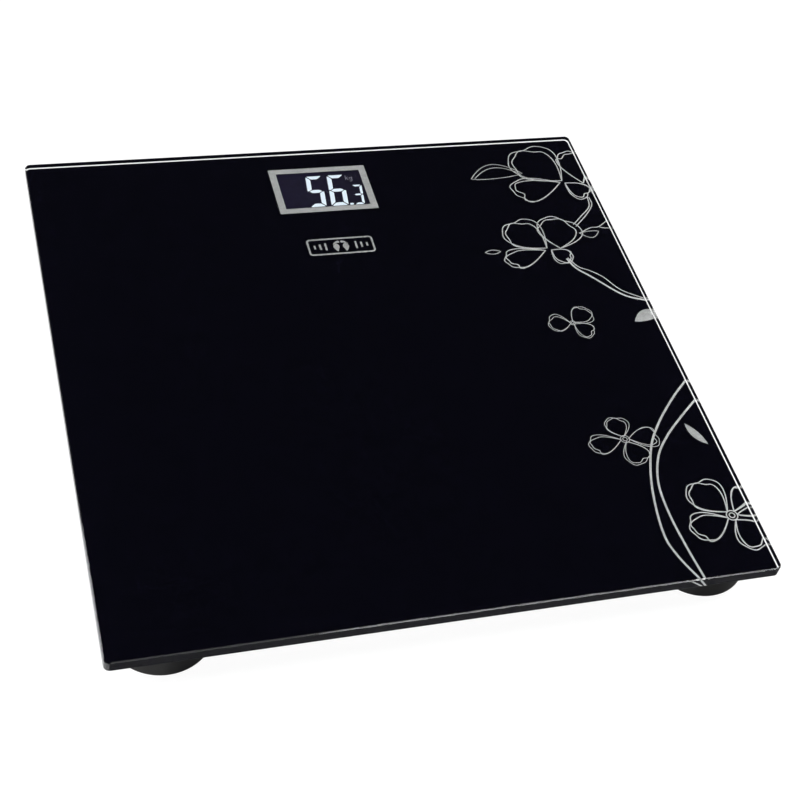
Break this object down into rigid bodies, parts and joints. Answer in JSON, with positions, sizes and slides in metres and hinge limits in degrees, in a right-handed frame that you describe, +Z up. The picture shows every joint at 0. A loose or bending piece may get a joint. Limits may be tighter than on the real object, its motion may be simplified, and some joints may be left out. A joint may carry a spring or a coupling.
{
  "type": "digital bathroom scale",
  "caption": "Square glass-topped personal scale with a backlit display under its back edge, round load-cell feet and an underside electronics module.",
  "frame": {"origin": "on the floor, under the centre of the platform", "axes": "+Z up, +Y towards the display edge, +X to the user's right"},
  "size_m": [0.3, 0.3, 0.023],
  "materials": {
    "clear_glass": "polished tempered glass",
    "black_print": "screen-printed enamel seen through glass",
    "silver_print": "fine metallic screen print",
    "clip_plastic": "moulded nylon",
    "foam_tape": "double-sided foam tape",
    "module_plastic": "fine-textured moulded ABS",
    "foot_plastic": "satin moulded ABS",
    "lcd_glass": "negative LCD with polariser",
    "light_guide": "frosted acrylic",
    "elastomer": "layered conductive silicone",
    "circuit_board": "solder-masked glass epoxy",
    "epoxy": "cast epoxy",
    "small_parts": "tinned and ceramic parts",
    "solder": "bright solder",
    "switch_body": "moulded switch housing",
    "switch_plunger": "moulded acetal",
    "button_plastic": "satin moulded ABS",
    "contact_metal": "nickel-plated spring steel",
    "cell_steel": "rolled stainless can",
    "screw_steel": "zinc-plated steel",
    "cell_plate_steel": "nickel-plated spring steel",
    "sealant": "silicone sealant",
    "tread_rubber": "moulded rubber",
    "lead_red": "PVC insulation",
    "lead_black": "PVC insulation",
    "lead_white": "PVC insulation"
  },
  "bodies": {
    "platform": {"back_print": "black_print", "battery_contact_negative": "contact_metal", "battery_contact_positive": "contact_metal", "coin_cell": "cell_steel", "controller_chip": "epoxy", "display_border": "silver_print", "foot_front_left_housing": "foot_plastic", "foot_front_left_load_cell": "cell_plate_steel", "foot_front_left_strain_gauge": "sealant", "foot_front_left_tape": "foam_tape", "foot_front_right_housing": "foot_plastic", "foot_front_right_load_cell": "cell_plate_steel", "foot_front_right_strain_gauge": "sealant", "foot_front_right_tape": "foam_tape", "foot_rear_left_housing": "foot_plastic", "foot_rear_left_load_cell": "cell_plate_steel", "foot_rear_left_strain_gauge": "sealant", "foot_rear_left_tape": "foam_tape", "foot_rear_right_housing": "foot_plastic", "foot_rear_right_load_cell": "cell_plate_steel", "foot_rear_right_strain_gauge": "sealant", "foot_rear_right_tape": "foam_tape", "glass_platform": "clear_glass", "lcd_backlight": "light_guide", "lcd_panel": "lcd_glass", "lead_front_left_black": "lead_black", "lead_front_left_red": "lead_red", "lead_front_left_white": "lead_white", "lead_front_right_black": "lead_black", "lead_front_right_red": "lead_red", "lead_front_right_white": "lead_white", "lead_rear_left_black": "lead_black", "lead_rear_left_red": "lead_red", "lead_rear_left_white": "lead_white", "lead_rear_right_black": "lead_black", "lead_rear_right_red": "lead_red", "lead_rear_right_white": "lead_white", "main_pcb": "circuit_board", "module_frame": "module_plastic", "module_screws": "screw_steel", "module_tape": "foam_tape", "pcb_parts": "small_parts", "rear_cover": "module_plastic", "solder_joints": "solder", "unit_switch": "switch_body", "wire_clips": "clip_plastic", "zebra_strip": "elastomer"},
    "battery_door": {"battery_door": "module_plastic"},
    "foot_front_left": {"foot_front_left_carrier": "foot_plastic", "foot_front_left_tread": "tread_rubber"},
    "foot_front_right": {"foot_front_right_carrier": "foot_plastic", "foot_front_right_tread": "tread_rubber"},
    "foot_rear_left": {"foot_rear_left_carrier": "foot_plastic", "foot_rear_left_tread": "tread_rubber"},
    "foot_rear_right": {"foot_rear_right_carrier": "foot_plastic", "foot_rear_right_tread": "tread_rubber"},
    "unit_button": {"switch_plunger": "switch_plunger", "unit_button": "button_plastic"}
  },
  "joints": [
    {"name": "foot_front_left_slide", "type": "slide", "parent": "platform", "child": "foot_front_left", "axis": [0, 0, 1], "range_m": [-0.0004, 0]},
    {"name": "foot_front_right_slide", "type": "slide", "parent": "platform", "child": "foot_front_right", "axis": [0, 0, 1], "range_m": [-0.0004, 0]},
    {"name": "foot_rear_left_slide", "type": "slide", "parent": "platform", "child": "foot_rear_left", "axis": [0, 0, 1], "range_m": [-0.0004, 0]},
    {"name": "foot_rear_right_slide", "type": "slide", "parent": "platform", "child": "foot_rear_right", "axis": [0, 0, 1], "range_m": [-0.0004, 0]},
    {"name": "battery_door_hinge", "type": "hinge", "parent": "platform", "child": "battery_door", "pos_m": [-0.044, 0.121, 0.0062], "axis": [0, 1, 0], "range_deg": [0, 95]},
    {"name": "unit_button_slide", "type": "slide", "parent": "platform", "child": "unit_button", "axis": [0, 0, 1], "range_m": [0, 0.0005], "stiffness_N_per_m": 5000}
  ]
}
